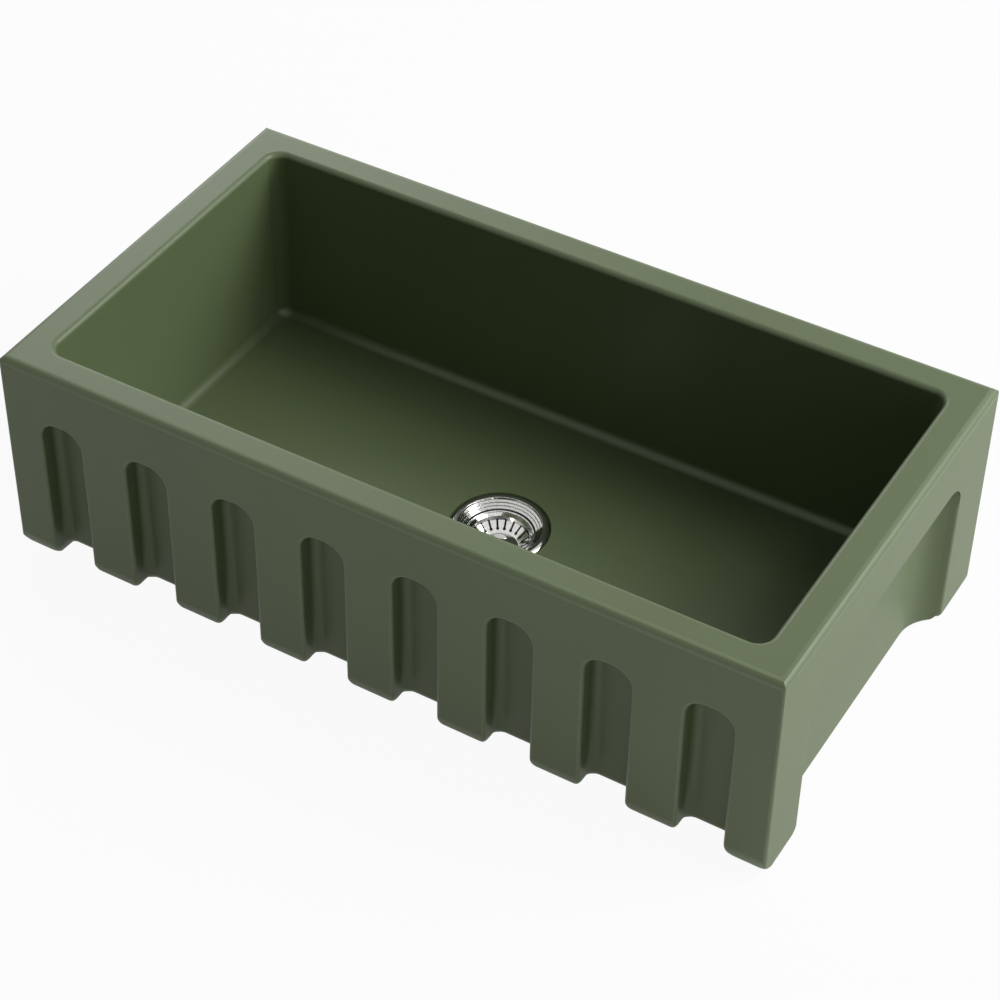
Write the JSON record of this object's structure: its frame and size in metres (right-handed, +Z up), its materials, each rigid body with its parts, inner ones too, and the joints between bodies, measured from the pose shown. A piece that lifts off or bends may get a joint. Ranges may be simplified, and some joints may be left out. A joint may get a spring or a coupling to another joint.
{
  "type": "farmhouse apron-front kitchen sink",
  "caption": "Deep single-bowl apron-front kitchen sink in satin green fireclay, with arched flutes down its front, recessed sides and a basket strainer in its drain.",
  "frame": {"origin": "middle of the sink's underside, level with its feet", "axes": "+X to the right seen from the front, -Y out of the fluted front, +Z up"},
  "size_m": [0.8382, 0.4572, 0.254],
  "materials": {
    "green_glaze": "satin olive-green glaze",
    "polished_steel": "polished stainless",
    "brushed_steel": "brushed stainless",
    "dull_metal": "plain cast metal",
    "black_rubber": "matt black rubber",
    "brown_fibre": "pressed fibre"
  },
  "bodies": {
    "sink": {"sink_body": "green_glaze", "strainer_body": "polished_steel", "flange_gasket": "black_rubber", "under_washer": "black_rubber", "fibre_washer": "brown_fibre", "locknut": "dull_metal", "cross_bar": "dull_metal"},
    "basket": {"basket_cup": "brushed_steel", "guide_bush": "dull_metal", "grip_ring": "black_rubber"},
    "stopper": {"stem": "brushed_steel", "knob": "polished_steel", "stopper_plate": "brushed_steel", "stopper_disc": "black_rubber", "stem_nut": "brushed_steel"}
  },
  "joints": [
    {"name": "basket_lift", "type": "slide", "parent": "sink", "child": "basket", "axis": [0, 0, 1], "range_m": [0, 0.26]},
    {"name": "stopper_raise", "type": "slide", "parent": "basket", "child": "stopper", "axis": [0, 0, 1], "range_m": [0, 0.005]}
  ]
}
